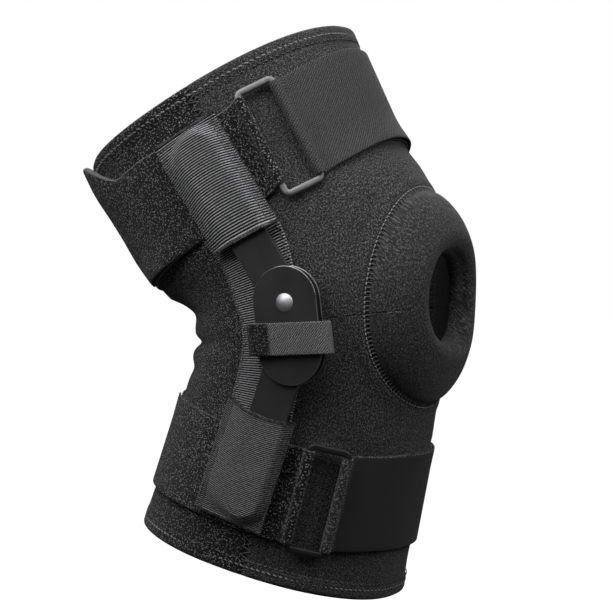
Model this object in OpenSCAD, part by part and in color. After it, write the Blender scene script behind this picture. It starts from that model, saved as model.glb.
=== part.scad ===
// Hinged wrap-round knee brace, worn slightly bent.
// Frame: +Z up, +X to the front of the leg, -Y to the outer (lateral) side of the leg.
// The origin is the centre of the knee, midway between the four hinge rivets.

/* [Pose] */
// Knee bend that the brace is shown at, in degrees
knee_bend = 53; // [30:1:60]
// Backward lean of the hinge plates, in degrees
plate_lean = 7; // [0:1:15]

/* [Leg sleeve] */
// Thickness of the neoprene
sleeve_t = 4; // [3:0.5:5]
// Half of the sleeve's width across the knee
half_width = 64; // [60:1:68]
// Front-to-back depth at the thigh rim
thigh_depth = 162; // [150:1:170]
// Front-to-back depth just above the knee
upper_knee_depth = 144; // [136:1:150]
// Front-to-back depth at the narrowest place below the knee
lower_knee_depth = 128; // [122:1:136]
// Front-to-back depth at the calf rim
calf_depth = 142; // [134:1:150]
// Length of the thigh side, from the knee centre along the leg
thigh_len = 132; // [120:1:140]
// Length of the calf side, from the knee centre along the leg
calf_len = 127; // [115:1:135]
// Angle between the front of the knee and the side seams, in degrees
seam_angle = 82; // [78:1:86]

/* [Kneecap pad] */
// Diameter of the hole over the kneecap
hole_d = 48; // [42:1:52]
// Diameter of the sewn outline of the pad
pad_d = 112; // [104:1:116]
// Height of the pad over the sleeve
pad_h = 10; // [6:1:12]
// Height of the hole's centre above the middle of the knee
pad_rise = 6; // [0:1:10]

/* [Hinge] */
// Distance between the two rivets of a hinge
pivot_gap = 21; // [20:1:24]
// Radius of the rounded plate ends
plate_r = 17.5; // [16:0.5:19]
// How far the plates' upper round ends are centred above the upper rivets
plate_head = 1; // [0:0.5:2]
// How far the plates' lower round ends are centred below the lower rivets
plate_tail = 3.5; // [0:0.5:4]
// Thickness of a hinge plate
plate_t = 1.5; // [1.2:0.1:1.8]
// Width of a side bar
bar_w = 21; // [18:1:22]
// Thickness of a side bar
bar_t = 2.5; // [2:0.1:3]
// Length of the thigh bar from its pivot
upper_bar_len = 100; // [90:1:101]
// Length of the calf bar from its pivot
lower_bar_len = 93; // [84:1:93]
// Thickness of a bearing washer
washer_t = 0.5; // [0.4:0.1:0.6]
// Radius of the rivet shank
rivet_r = 2.5; // [2:0.1:3]
// Radius of the domed rivet head
rivet_head_r = 4.7; // [4:0.1:5]
// Height of the domed rivet head
rivet_head_h = 2; // [1.5:0.1:2.2]
// Teeth on a full circle of the geared bar ends
teeth = 20; // [18:1:24]

/* [Straps] */
// Width of the thigh and calf straps
strap_w = 50; // [40:1:50]
// Thickness of a strap of two layers
strap_t = 2; // [1.6:0.1:2.2]
// Lower edge of the thigh strap, measured along the leg
thigh_strap_s = 58; // [56:1:62]
// Upper edge of the calf strap, measured along the leg
calf_strap_s = -53; // [-56:1:-50]
// Angle of the strap rings from the front of the knee, in degrees
ring_angle = 57; // [50:1:60]
// Width of a ring over its outside, across the strap's pull
ring_w = 23; // [20:1:25]
// Diameter of the ring wire
ring_wire = 3; // [2.5:0.1:3.5]
// Width of the keeper strap that holds each hinge
keeper_w = 16.5; // [14:0.5:18]
// Forward tilt of the keeper straps from square to the plates, in degrees
keeper_tilt = 4; // [0:1:6]

/* [Bar pockets] */
// Width of a bar pocket over its sewn edges
pocket_w = 39; // [36:1:40]
// How far the middle of a thigh pocket lies behind its bar's
upper_pocket_back = 1.8; // [0:0.1:3]
// How far the middle of a calf pocket lies behind its bar's
lower_pocket_back = 5; // [2:0.5:6]
// Distance from the upper pivot to the mouth of the thigh pocket
upper_pocket_start = 39.5; // [36:0.5:42]
// Distance from the upper pivot to the closed end of the thigh pocket
upper_pocket_end = 106.5; // [105.5:0.5:108]
// Distance from the lower pivot to the mouth of the calf pocket
lower_pocket_start = 37.5; // [34:0.5:40]
// Distance from the lower pivot to the closed end of the calf pocket
lower_pocket_end = 98.5; // [97.5:0.5:100]
// Thickness of the pocket webbing
web_t = 1.2; // [1:0.1:1.4]

/* [Hidden] */
$fn = 64;

// Gaps between sewn pieces, and the running clearance of the pivots
sewn_gap = 0.3;
strip_gap = 0.5;
seam_gap = 0.5;
run_gap = 0.05;

// Half of the bend is taken at each pivot
bar_angle = knee_bend / 2;
pivot_z = pivot_gap / 2;

// Centre line of the sleeve: two straight legs joined by an arc of half length bend_half
sleeve_half_bend = bar_angle - 4;
corner = [-6.2, -1.7];
bend_half = 50;
bend_r = bend_half / (sleeve_half_bend * PI / 180);
arc_mid_x = corner[0] - bend_r * (1 / cos(sleeve_half_bend) - 1);

// Heights of the two planes that part the knee section from the thigh and the calf
cut_low = -46;
cut_high = 44;

// Superellipse power of the sleeve's cross-section, and how far its centre moves at the knee
section_power = 2 / 2.2;
side_shift = -2;
knee_shift = 10;
knee_shift_at = 18;
knee_shift_reach = 60;

// Layers of a hinge, as distances from the middle of the leg
keeper_in = half_width + 1.5;
keeper_t = 1;
inner_plate_y = keeper_in + keeper_t + sewn_gap;
inner_washer_y = inner_plate_y + plate_t;
bar_y = inner_washer_y + washer_t;
outer_washer_y = bar_y + bar_t;
outer_plate_y = outer_washer_y + washer_t;
head_y = outer_plate_y + plate_t;
keeper_out = head_y + rivet_head_h + sewn_gap + keeper_t;
keeper_mid_z = -7.8;
strip_t = 1;
strip_angle = 89;
strip_half_angle = 13.5;

// Involute form of the geared bar ends
gear_module = pivot_gap / teeth;
pressure_angle = 20;
base_r = pivot_z * cos(pressure_angle);
tip_r = pivot_z + 0.9 * gear_module;
root_r = pivot_z - 1.25 * gear_module;
backlash_angle = 0.5;
flank_steps = 5;

black = [0.06, 0.06, 0.065];
knit = [0.13, 0.13, 0.14];
plush = [0.1, 0.1, 0.11];
webbing = [0.2, 0.2, 0.21];
zinc = [0.7, 0.7, 0.7];
silver = [0.85, 0.85, 0.86];

// ---- Surface of the sleeve ----

function signed_pow(v, p) = sign(v) * pow(abs(v), p);
function lean_at(s) = sleeve_half_bend * max(-1, min(1, s / bend_half));
function past_bend(s) = max(0, abs(s) - bend_half);
function axis_at(s) =
    let (a = lean_at(s), e = past_bend(s))
    [arc_mid_x - bend_r * (1 - cos(a)) - e * abs(sin(a)),
     corner[1] + bend_r * sin(a) + sign(s) * e * cos(a)];
function half_depth(s) = lookup(s, [
    [-calf_len, calf_depth / 2], [-35, lower_knee_depth / 2], [35, upper_knee_depth / 2],
    [bend_half, upper_knee_depth / 2 + 3.5], [thigh_len, thigh_depth / 2]]);
function centre_shift(s) =
    side_shift + knee_shift * (1 + cos(180 * min(1, abs(s - knee_shift_at) / knee_shift_reach))) / 2;
// Point at leg length s and angle phi from the front, r outside the sleeve's outer face
function skin(s, phi, r) =
    let (a = lean_at(s), c = axis_at(s),
         q = centre_shift(s) + (half_depth(s) + r) * signed_pow(cos(phi), section_power))
    [c[0] + q * cos(a), -(half_width + r) * signed_pow(sin(phi), section_power), c[1] + q * sin(a)];
// Leg length at which the outer face at angle phi meets the height z
function cut_s(z, phi, lo, hi, n = 24) =
    let (mid = (lo + hi) / 2)
    n == 0 ? mid : skin(mid, phi, 0)[2] < z ? cut_s(z, phi, mid, hi, n - 1) : cut_s(z, phi, lo, mid, n - 1);
function low_cut(phi, gap) = cut_s(cut_low + gap, phi, -calf_len, 0);
function high_cut(phi, gap) = cut_s(cut_high + gap, phi, 0, thigh_len);

// ---- Closed thin solids from grids of points ----

// Four-sided face as two triangles
function two(a, b, c, d) = [[a, b, c], [a, c, d]];
// Solid between an outer and an inner grid of nu by nv cells; closed_u joins the last column to the first
module slab(outer, inner, nu, nv, closed_u = false) {
    row = nv + 1;
    cols = closed_u ? nu : nu + 1;
    total = cols * row;
    function at(i, j) = (i % cols) * row + j;
    faces = concat(
        [for (i = [0 : nu - 1], j = [0 : nv - 1],
            t = two(at(i, j), at(i, j + 1), at(i + 1, j + 1), at(i + 1, j))) t],
        [for (i = [0 : nu - 1], j = [0 : nv - 1],
            t = two(total + at(i, j), total + at(i + 1, j),
                    total + at(i + 1, j + 1), total + at(i, j + 1))) t],
        [for (i = [0 : nu - 1], t = two(at(i, 0), at(i + 1, 0), total + at(i + 1, 0), total + at(i, 0))) t],
        [for (i = [0 : nu - 1],
            t = two(at(i + 1, nv), at(i, nv), total + at(i, nv), total + at(i + 1, nv))) t],
        closed_u ? [] : [for (j = [0 : nv - 1],
            t = two(at(0, j + 1), at(0, j), total + at(0, j), total + at(0, j + 1))) t],
        closed_u ? [] : [for (j = [0 : nv - 1],
            t = two(at(nu, j), at(nu, j + 1), total + at(nu, j + 1), total + at(nu, j))) t]);
    polyhedron(points = concat(outer, inner), faces = faces, convexity = 8);
}

// Band on the sleeve between two limits given per column as [phi, s_low, s_high, r_in, r_out]
function band_column(c, rows) =
    [for (r = [c[4], c[3]]) [for (j = [0 : rows]) skin(c[1] + (c[2] - c[1]) * j / rows, c[0], r)]];
// Solid through columns, each a list of outer points and a list of inner points, in order of rising phi
module ribbon(columns) {
    last = len(columns) - 1;
    slab([for (i = [last : -1 : 0], p = columns[i][0]) p], [for (i = [last : -1 : 0], p = columns[i][1]) p],
         last, len(columns[0][0]) - 1);
}
module band(limits, rows) ribbon([for (c = limits) band_column(c, rows)]);

function angles(from, to, n) = [for (i = [0 : n]) from + (to - from) * i / n];
panel_cols = 18;
panel_rows = 6;
seam_gap_angle = seam_gap / half_width * 180 / PI / 2;
front_angles = angles(-seam_angle + seam_gap_angle, seam_angle - seam_gap_angle, panel_cols);
back_angles = angles(seam_angle + seam_gap_angle, 360 - seam_angle - seam_gap_angle, panel_cols);

module thigh_panel(phis)
    band([for (p = phis) [p, high_cut(p, seam_gap / 2), thigh_len, -sleeve_t, 0]], panel_rows);
module calf_panel(phis)
    band([for (p = phis) [p, -calf_len, low_cut(p, -seam_gap / 2), -sleeve_t, 0]], panel_rows);
module knee_panel(phis)
    band([for (p = phis) [p, low_cut(p, seam_gap / 2), high_cut(p, -seam_gap / 2), -sleeve_t, 0]],
         panel_rows);

// ---- Kneecap opening ----

pad_spokes = 36;
pad_rings = 6;
knee_front_r = bend_r + lower_knee_depth / 2 + knee_shift;
pad_s = pad_rise * bend_r / knee_front_r;
// Angle and leg length of a point at distance d from the hole's centre, in direction w
function pad_place(d, w) = [d * cos(w) / half_width * 180 / PI, pad_s + d * sin(w) * bend_r / knee_front_r];
// Edge of the knee front panel along direction w, as a share of the way round its four sides
function edge_place(w) =
    let (c = cos(w), sn = sin(w), k = max(abs(c), abs(sn)), phi = front_angles[panel_cols] * c / k,
         lo = low_cut(phi, seam_gap / 2), hi = high_cut(phi, -seam_gap / 2), v = sn / k)
    [phi, v < 0 ? pad_s + (pad_s - lo) * v : pad_s + (hi - pad_s) * v];
function knee_front_place(i, w) =
    let (t = i / pad_rings, a = pad_place(hole_d / 2, w), b = edge_place(w)) a + (b - a) * t;
module knee_front() {
    places = [for (k = [0 : pad_spokes - 1], i = [0 : pad_rings]) knee_front_place(i, 360 * k / pad_spokes)];
    slab([for (p = places) skin(p[1], p[0], 0)], [for (p = places) skin(p[1], p[0], -sleeve_t)],
         pad_spokes, pad_rings, true);
}
// Height of the padded ring at share t of the way from the hole to its sewn outline
function pad_height(t) = 1 + (pad_h - 1) * pow(1 - pow(t, 2.4), 0.6);
module pad_ring() {
    cells = [for (k = [0 : pad_spokes - 1], i = [0 : pad_rings])
        let (t = i / pad_rings, d = hole_d / 2 + (pad_d - hole_d) / 2 * t)
        [pad_place(d, 360 * k / pad_spokes), pad_height(t)]];
    slab([for (c = cells) skin(c[0][1], c[0][0], sewn_gap + c[1])],
         [for (c = cells) skin(c[0][1], c[0][0], sewn_gap)], pad_spokes, pad_rings, true);
}

// ---- Hinges and bars ----

// Flat piece standing t thick outside the plane at distance y from the middle of the leg
module side_plate(y, t) translate([0, -y, 0]) rotate([90, 0, 0]) linear_extrude(t) children();
module opposite_side(medial) mirror([0, medial ? 1 : 0, 0]) children();

module plate_outline() {
    hull() for (z = [-pivot_z - plate_tail, pivot_z + plate_head]) translate([0, z]) circle(plate_r);
}
module hinge_plate(y) {
    difference() {
        side_plate(y, plate_t) plate_outline();
        for (z = [-pivot_z, pivot_z])
            translate([0, -y + 1, z]) rotate([90, 0, 0]) cylinder(r = rivet_r + run_gap, h = plate_t + 2);
    }
}
module rivet(z) {
    dome_r = (rivet_head_r * rivet_head_r + rivet_head_h * rivet_head_h) / (2 * rivet_head_h);
    translate([0, -inner_plate_y, z]) rotate([90, 0, 0])
        cylinder(r = rivet_r, h = head_y - inner_plate_y + rivet_head_h / 4);
    intersection() {
        translate([0, -head_y - rivet_head_h + dome_r, z]) sphere(dome_r);
        translate([0, -head_y, z]) rotate([90, 0, 0]) cylinder(r = rivet_head_r + 1, h = rivet_head_h + 1);
    }
}
module washers() {
    for (z = [-pivot_z, pivot_z], y = [inner_washer_y, outer_washer_y])
        difference() {
            translate([0, -y, z]) rotate([90, 0, 0]) cylinder(r = rivet_head_r + 1, h = washer_t);
            translate([0, -y + 1, z]) rotate([90, 0, 0]) cylinder(r = rivet_r + run_gap, h = washer_t + 2);
        }
}

// Involute angle, in degrees, at radius r
function involute(r) = let (a = acos(min(1, base_r / r))) tan(a) * 180 / PI - a;
half_tooth = 90 / teeth - backlash_angle + involute(pivot_z);
function flank_r(i) = max(base_r, root_r) + (tip_r - max(base_r, root_r)) * i / flank_steps;
function tooth(at) = concat(
    [[root_r, at - half_tooth]],
    [for (i = [0 : flank_steps]) [flank_r(i), at - half_tooth + involute(flank_r(i))]],
    [for (i = [flank_steps : -1 : 0]) [flank_r(i), at + half_tooth - involute(flank_r(i))]],
    [[root_r, at + half_tooth]]);
module geared_head(first_tooth)
    polygon([for (k = [0 : teeth - 1], p = tooth(first_tooth + 360 * k / teeth))
        p[0] * [cos(p[1]), sin(p[1])]]);

// Bar that runs from a geared head at height z, upward (side 1) or downward (side -1), leaning back
module side_bar(side, length) {
    z = side * pivot_z;
    first_tooth = side > 0 ? -90 : 90 + 180 / teeth;
    difference() {
        side_plate(bar_y, bar_t) translate([0, z]) {
            geared_head(first_tooth);
            rotate(side * bar_angle) {
                translate([-bar_w / 2, side > 0 ? 0 : bar_w / 2 - length])
                    square([bar_w, length - bar_w / 2]);
                translate([0, side * (length - bar_w / 2)]) circle(bar_w / 2);
            }
        }
        translate([0, -bar_y + 1, z]) rotate([90, 0, 0]) cylinder(r = rivet_r + run_gap, h = bar_t + 2);
    }
}

// Keeper strap: a flat loop round the lower half of a hinge
module keeper_strap() {
    depth = keeper_out - keeper_in;
    module loop_outline(d) {
        square([2 * plate_r, d], center = true);
        for (x = [-plate_r, plate_r]) translate([x, 0]) circle(d / 2);
    }
    translate([0, -(keeper_in + depth / 2), keeper_mid_z]) rotate([0, keeper_tilt, 0])
        linear_extrude(keeper_w, center = true) difference() {
            loop_outline(depth);
            loop_outline(depth - 2 * keeper_t);
        }
}

// ---- Bar pockets and strips ----

// Frame of a bar: +Y along it, away from its pivot, +Z out of the side of the leg
module along_bar(side)
    translate([0, 0, side * pivot_z]) rotate([0, side > 0 ? -bar_angle : 180 + bar_angle, 0])
        rotate([90, 0, 0]) children();
module pocket(side, from, to, back) {
    back_y = half_width + strap_t + 2 * sewn_gap;
    under_bar = 0.9;
    beside_bar = 1.5;
    edge_h = 1.8;
    hollow_y = bar_y - under_bar;
    hollow = under_bar + bar_t + sewn_gap;
    front_y = hollow_y + hollow + web_t;
    roof_half = bar_w / 2 + beside_bar;
    rear = (side > 0 ? -back : back) - pocket_w / 2;
    along_bar(side) difference() {
        translate([0, from, 0]) rotate([-90, 0, 0]) linear_extrude(to - from)
            polygon([[rear, -back_y], [rear + pocket_w, -back_y], [rear + pocket_w, -back_y - edge_h],
                     [roof_half, -front_y], [-roof_half, -front_y], [rear, -back_y - edge_h]]);
        translate([-bar_w / 2 - sewn_gap, from - 1, hollow_y])
            cube([bar_w + 2 * sewn_gap, to - from - 3, hollow]);
    }
}
module strip(from_s, to_s) {
    phis = angles(strip_angle - strip_half_angle, strip_angle + strip_half_angle, 4);
    band([for (p = phis) [p, from_s(p), to_s(p), strip_gap, strip_gap + strip_t]], 4);
}

// ---- Straps and rings ----

ring_lift = 3.4;
ring_half = ring_w / 2 - ring_wire / 2;
loop_wall = 1.1;
loop_gap = 0.35;
loop_r = ring_wire / 2 + loop_gap + loop_wall;
thigh_slant = 6;
calf_slant = 4;
tail_angle = 152;
sewn_end_angle = 278;
// Frame at a ring: +X to the front round the leg, +Y up along the leg, +Z out of the leg
function unit(v) = v / norm(v);
function ring_frame(s) =
    let (a = lean_at(s), t = unit(skin(s, ring_angle - 1, ring_lift) - skin(s, ring_angle + 1, ring_lift)),
         k = [-sin(a), 0, cos(a)])
    [t, k, cross(t, k), skin(s, ring_angle, ring_lift)];
module at_ring(s) {
    f = ring_frame(s);
    multmatrix([for (i = [0 : 2]) [f[0][i], f[1][i], f[2][i], f[3][i]]]) children();
}
module ring() {
    half_len = strap_w / 2 + ring_wire / 2 + 0.7;
    for (x = [-ring_half, ring_half])
        translate([x, half_len, 0]) rotate([90, 0, 0]) cylinder(d = ring_wire, h = 2 * half_len);
    for (y = [-half_len, half_len]) {
        translate([-ring_half, y - ring_wire / 2, -ring_wire / 2])
            cube([2 * ring_half, ring_wire, ring_wire]);
        for (x = [-ring_half, ring_half])
            translate([x, y, -ring_wire / 2]) cylinder(d = ring_wire, h = ring_wire);
    }
}
// Columns of a strap end that goes under one long side of a ring and back over it; side 1 is the front
strap_rows = 3;
loop_start = 290;
loop_end = -10;
loop_steps = 10;
function loop_column(f, side, w) =
    [for (r = [loop_r - loop_wall, loop_r]) [for (j = [0 : strap_rows])
        f[3] + side * (ring_half + r * cos(w)) * f[0] + strap_w * (j / strap_rows - 0.5) * f[1]
            + r * sin(w) * f[2]]];
function loop_columns(f, side) =
    let (turns = angles(loop_start, loop_end, loop_steps))
    [for (i = [0 : loop_steps]) loop_column(f, side, turns[side > 0 ? i : loop_steps - i])];
front_strap_end = ring_angle - 12.5;
rear_strap_start = ring_angle + 12.5;
function slanted(s, phi, slant) = s + slant * max(0, cos(phi));
function strap_column(s, slant, phi, t) =
    let (low = slanted(s, phi, slant))
    band_column([phi, low, low + strap_w, sewn_gap, sewn_gap + t], strap_rows);
function strap_middle(s, slant) = slanted(s, ring_angle, slant) + strap_w / 2;
module front_strap(s, slant)
    ribbon(concat([for (p = angles(-seam_angle, front_strap_end, 14)) strap_column(s, slant, p, strap_t)],
                  loop_columns(ring_frame(strap_middle(s, slant)), 1)));
module rear_strap(s, slant)
    ribbon(concat(loop_columns(ring_frame(strap_middle(s, slant)), -1),
                  [for (p = angles(rear_strap_start, tail_angle, 10)) strap_column(s, slant, p, strap_t)],
                  [for (p = angles(tail_angle + 1, sewn_end_angle - 1, 18))
                      strap_column(s, slant, p, strap_t / 2)]));
module strap_ring(s, slant) at_ring(strap_middle(s, slant)) ring();
calf_strap_low = calf_strap_s - strap_w;

// ---- Named sub-parts, stood in the worn position ----

module worn() rotate([0, -plate_lean, 0]) children();
module on_side(medial) worn() opposite_side(medial) children();

module thigh_front_panel() color(knit) worn() thigh_panel(front_angles);
module thigh_back_panel() color(plush) worn() thigh_panel(back_angles);
module knee_front_panel() color(knit) worn() knee_front();
module knee_back_panel() color(plush) worn() knee_panel(back_angles);
module calf_front_panel() color(knit) worn() calf_panel(front_angles);
module calf_back_panel() color(plush) worn() calf_panel(back_angles);
module patella_pad() color(knit) worn() pad_ring();

module upper_bar(medial) color(black) on_side(medial) side_bar(1, upper_bar_len);
module lower_bar(medial) color(black) on_side(medial) side_bar(-1, lower_bar_len);
module outer_plate(medial) color(black) on_side(medial) hinge_plate(outer_plate_y);
module inner_plate(medial) color(black) on_side(medial) hinge_plate(inner_plate_y);
module upper_rivet(medial) color(silver) on_side(medial) rivet(pivot_z);
module lower_rivet(medial) color(silver) on_side(medial) rivet(-pivot_z);
module washer_set(medial) color("ivory") on_side(medial) washers();
module keeper(medial) color(webbing) on_side(medial) keeper_strap();

module upper_pocket(medial) color(webbing) on_side(medial)
    pocket(1, upper_pocket_start, upper_pocket_end, upper_pocket_back);
module lower_pocket(medial) color(webbing) on_side(medial)
    pocket(-1, lower_pocket_start, lower_pocket_end, lower_pocket_back);
module upper_strip(medial) color(webbing) on_side(medial)
    strip(function(p) high_cut(p, seam_gap / 2), function(p) thigh_strap_s - 1);
module knee_strip(medial) color(webbing) on_side(medial)
    strip(function(p) calf_strap_s + calf_slant, function(p) high_cut(p, -seam_gap / 2));

module thigh_front_strap() color(webbing) worn() front_strap(thigh_strap_s, thigh_slant);
module thigh_rear_strap() color(plush) worn() rear_strap(thigh_strap_s, thigh_slant);
module thigh_ring() color(zinc) worn() strap_ring(thigh_strap_s, thigh_slant);
module calf_front_strap() color(webbing) worn() front_strap(calf_strap_low, calf_slant);
module calf_rear_strap() color(plush) worn() rear_strap(calf_strap_low, calf_slant);
module calf_ring() color(black) worn() strap_ring(calf_strap_low, calf_slant);

thigh_front_panel();
thigh_back_panel();
knee_front_panel();
knee_back_panel();
calf_front_panel();
calf_back_panel();
patella_pad();
upper_bar(false);  // lateral_upper_bar
lower_bar(false);  // lateral_lower_bar
outer_plate(false);  // lateral_outer_plate
inner_plate(false);  // lateral_inner_plate
upper_rivet(false);  // lateral_upper_rivet
lower_rivet(false);  // lateral_lower_rivet
washer_set(false);  // lateral_washers
keeper(false);  // lateral_keeper_strap
upper_bar(true);  // medial_upper_bar
lower_bar(true);  // medial_lower_bar
outer_plate(true);  // medial_outer_plate
inner_plate(true);  // medial_inner_plate
upper_rivet(true);  // medial_upper_rivet
lower_rivet(true);  // medial_lower_rivet
washer_set(true);  // medial_washers
keeper(true);  // medial_keeper_strap
upper_pocket(false);  // lateral_upper_pocket
lower_pocket(false);  // lateral_lower_pocket
upper_pocket(true);  // medial_upper_pocket
lower_pocket(true);  // medial_lower_pocket
upper_strip(false);  // lateral_upper_strip
knee_strip(false);  // lateral_knee_strip
upper_strip(true);  // medial_upper_strip
knee_strip(true);  // medial_knee_strip
thigh_front_strap();
thigh_rear_strap();
thigh_ring();
calf_front_strap();
calf_rear_strap();
calf_ring();
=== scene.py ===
import math

import bmesh
import bpy
import numpy as np
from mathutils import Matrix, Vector


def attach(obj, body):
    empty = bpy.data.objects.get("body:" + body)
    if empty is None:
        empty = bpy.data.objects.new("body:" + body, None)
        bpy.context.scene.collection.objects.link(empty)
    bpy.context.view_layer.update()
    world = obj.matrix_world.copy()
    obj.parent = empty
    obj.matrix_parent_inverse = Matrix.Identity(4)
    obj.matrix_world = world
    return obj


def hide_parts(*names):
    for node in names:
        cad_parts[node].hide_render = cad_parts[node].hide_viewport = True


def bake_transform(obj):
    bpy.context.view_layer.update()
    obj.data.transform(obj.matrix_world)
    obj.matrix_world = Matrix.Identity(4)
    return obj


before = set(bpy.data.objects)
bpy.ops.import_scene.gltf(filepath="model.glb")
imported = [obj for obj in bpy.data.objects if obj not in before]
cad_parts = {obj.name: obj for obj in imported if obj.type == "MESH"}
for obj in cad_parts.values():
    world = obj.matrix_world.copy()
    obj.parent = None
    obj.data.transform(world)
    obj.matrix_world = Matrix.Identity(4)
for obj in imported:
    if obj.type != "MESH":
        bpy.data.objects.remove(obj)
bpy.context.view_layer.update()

# Lengths below are in millimetres and angles in degrees, in the frame of the hinge plates, unless a comment
# says otherwise. s runs up along the leg, phi goes round it from the front towards the outer side, and r is
# the height over the sleeve.

MM = 0.001
PLATE_LEAN = math.radians(7.0)
UP_PLATES = Vector((-math.sin(PLATE_LEAN), 0.0, math.cos(PLATE_LEAN)))

# ---- Size of the brace, as in its CAD source ----

SLEEVE_T = 4.0
HALF_WIDTH = 64.0
HALF_BEND = math.radians(22.5)
BEND_HALF = 50.0
BEND_R = BEND_HALF / HALF_BEND
CORNER_X, CORNER_Z = -6.2, -1.7
ARC_MID_X = CORNER_X - BEND_R * (1 / math.cos(HALF_BEND) - 1)
DEPTH_STATIONS = [-147.0, -127.0, -35.0, 35.0, 50.0, 132.0, 152.0]
HALF_DEPTHS = [72.5, 71.0, 64.0, 72.0, 75.5, 81.0, 82.3]
SECTION_POWER = 2 / 2.2
SIDE_SHIFT, KNEE_SHIFT, KNEE_SHIFT_AT, KNEE_SHIFT_REACH = -2.0, 10.0, 18.0, 60.0
THIGH_END, CALF_END = 132.0, -127.0
REAR_RIM_DRAWN_IN = 2.8  # how much nearer the thigh's rear rim sits than in the CAD source
SEAM_PHI, SEAM_GAP = 82.0, 0.15

HOLE_R, PAD_R, PAD_H, PAD_RISE = 24.0, 56.0, 10.0, 6.0
PAD_RIM = 57.6  # where the pad's thin sewn edge ends
PAD_SCALE = BEND_R / (BEND_R + 64.0 + KNEE_SHIFT)
PAD_S = PAD_RISE * PAD_SCALE

BAR_ANGLE = math.radians(26.5)
PIVOT_Z = 10.5
BAR_HALF = 10.5
PLATE_R = 17.5

STRAP_W = 50.0
THIGH_STRAP_S, THIGH_SLANT = 58.0, 6.0
CALF_STRAP_S, CALF_SLANT = -103.0, 4.0
RING_PHI, RING_LIFT, RING_HALF, WIRE_R = 57.0, 3.4, 10.0, 1.5
LAYER_T = 1.0


def signed_power(v, p):
    return np.sign(v) * np.abs(v) ** p


def smooth(t):
    t = np.clip(t, 0, 1)
    return t * t * (3 - 2 * t)


def bell(x, width):
    return np.exp(-((x / width) ** 2))


def half_depth(s):
    """Half of the sleeve's depth, with the corners of its taper eased."""
    steps = np.linspace(-12, 12, 9)
    weights = bell(steps, 7)
    depths = (w * np.interp(s + d, DEPTH_STATIONS, HALF_DEPTHS) for w, d in zip(weights, steps))
    return sum(depths) / weights.sum()


def centre_shift(s):
    near = np.minimum(1, np.abs(s - KNEE_SHIFT_AT) / KNEE_SHIFT_REACH)
    return SIDE_SHIFT + KNEE_SHIFT * (1 + np.cos(np.pi * near)) / 2


def lean_at(s):
    return HALF_BEND * np.clip(s / BEND_HALF, -1, 1)


def skin(s, phi, r=0.0):
    """Points at s and phi, r outside the sleeve's outer face."""
    s, phi, r = np.broadcast_arrays(np.asarray(s, float), np.asarray(phi, float), np.asarray(r, float))
    a = lean_at(s)
    past = np.maximum(0, np.abs(s) - BEND_HALF)
    x = ARC_MID_X - BEND_R * (1 - np.cos(a)) - past * np.abs(np.sin(a))
    z = CORNER_Z + BEND_R * np.sin(a) + np.sign(s) * past * np.cos(a)
    f = np.radians(phi)
    rear_rim = smooth((s - 85) / 45) * smooth((-0.55 - np.cos(f)) / 0.4)
    reach = half_depth(s) + r - REAR_RIM_DRAWN_IN * rear_rim
    q = centre_shift(s) + reach * signed_power(np.cos(f), SECTION_POWER)
    y = -(HALF_WIDTH + r) * signed_power(np.sin(f), SECTION_POWER)
    return np.stack([x + q * np.cos(a), y, z + q * np.sin(a)], -1)


ARC_PHI = np.arange(-180.0, 541.0)
ARC_LENGTH = np.concatenate([[0], np.cumsum(np.linalg.norm(np.diff(skin(0.0, ARC_PHI), axis=0), axis=1))])


def arc(phi):
    """Distance round the knee to phi."""
    return np.interp(phi, ARC_PHI, ARC_LENGTH)


def outward(s, phi):
    d = skin(s, phi, 1.0) - skin(s, phi, 0.0)
    return d / np.linalg.norm(d, axis=-1, keepdims=True)


def worn(points):
    """Millimetres in the plates' frame to metres in the frame of the whole brace."""
    x, y, z = points[..., 0], points[..., 1], points[..., 2]
    c, n = math.cos(PLATE_LEAN), math.sin(PLATE_LEAN)
    return MM * np.stack([x * c - z * n, y, x * n + z * c], -1)


def pad_place(d, w):
    """s and phi at distance d from the kneecap hole's centre, in direction w in radians."""
    return PAD_S + d * np.sin(w) * PAD_SCALE, np.degrees(d * np.cos(w) / HALF_WIDTH)


def pad_distance(s, phi):
    return np.hypot(np.radians(phi) * HALF_WIDTH, (s - PAD_S) / PAD_SCALE)


# ---- Materials ----
# The "weave" attribute of a mesh holds millimetres along and across its cloth, and a height from 0 to 1.
# The ribbed materials turn that height into painted highlight on the ridges and painted shade in the
# valleys.


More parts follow.
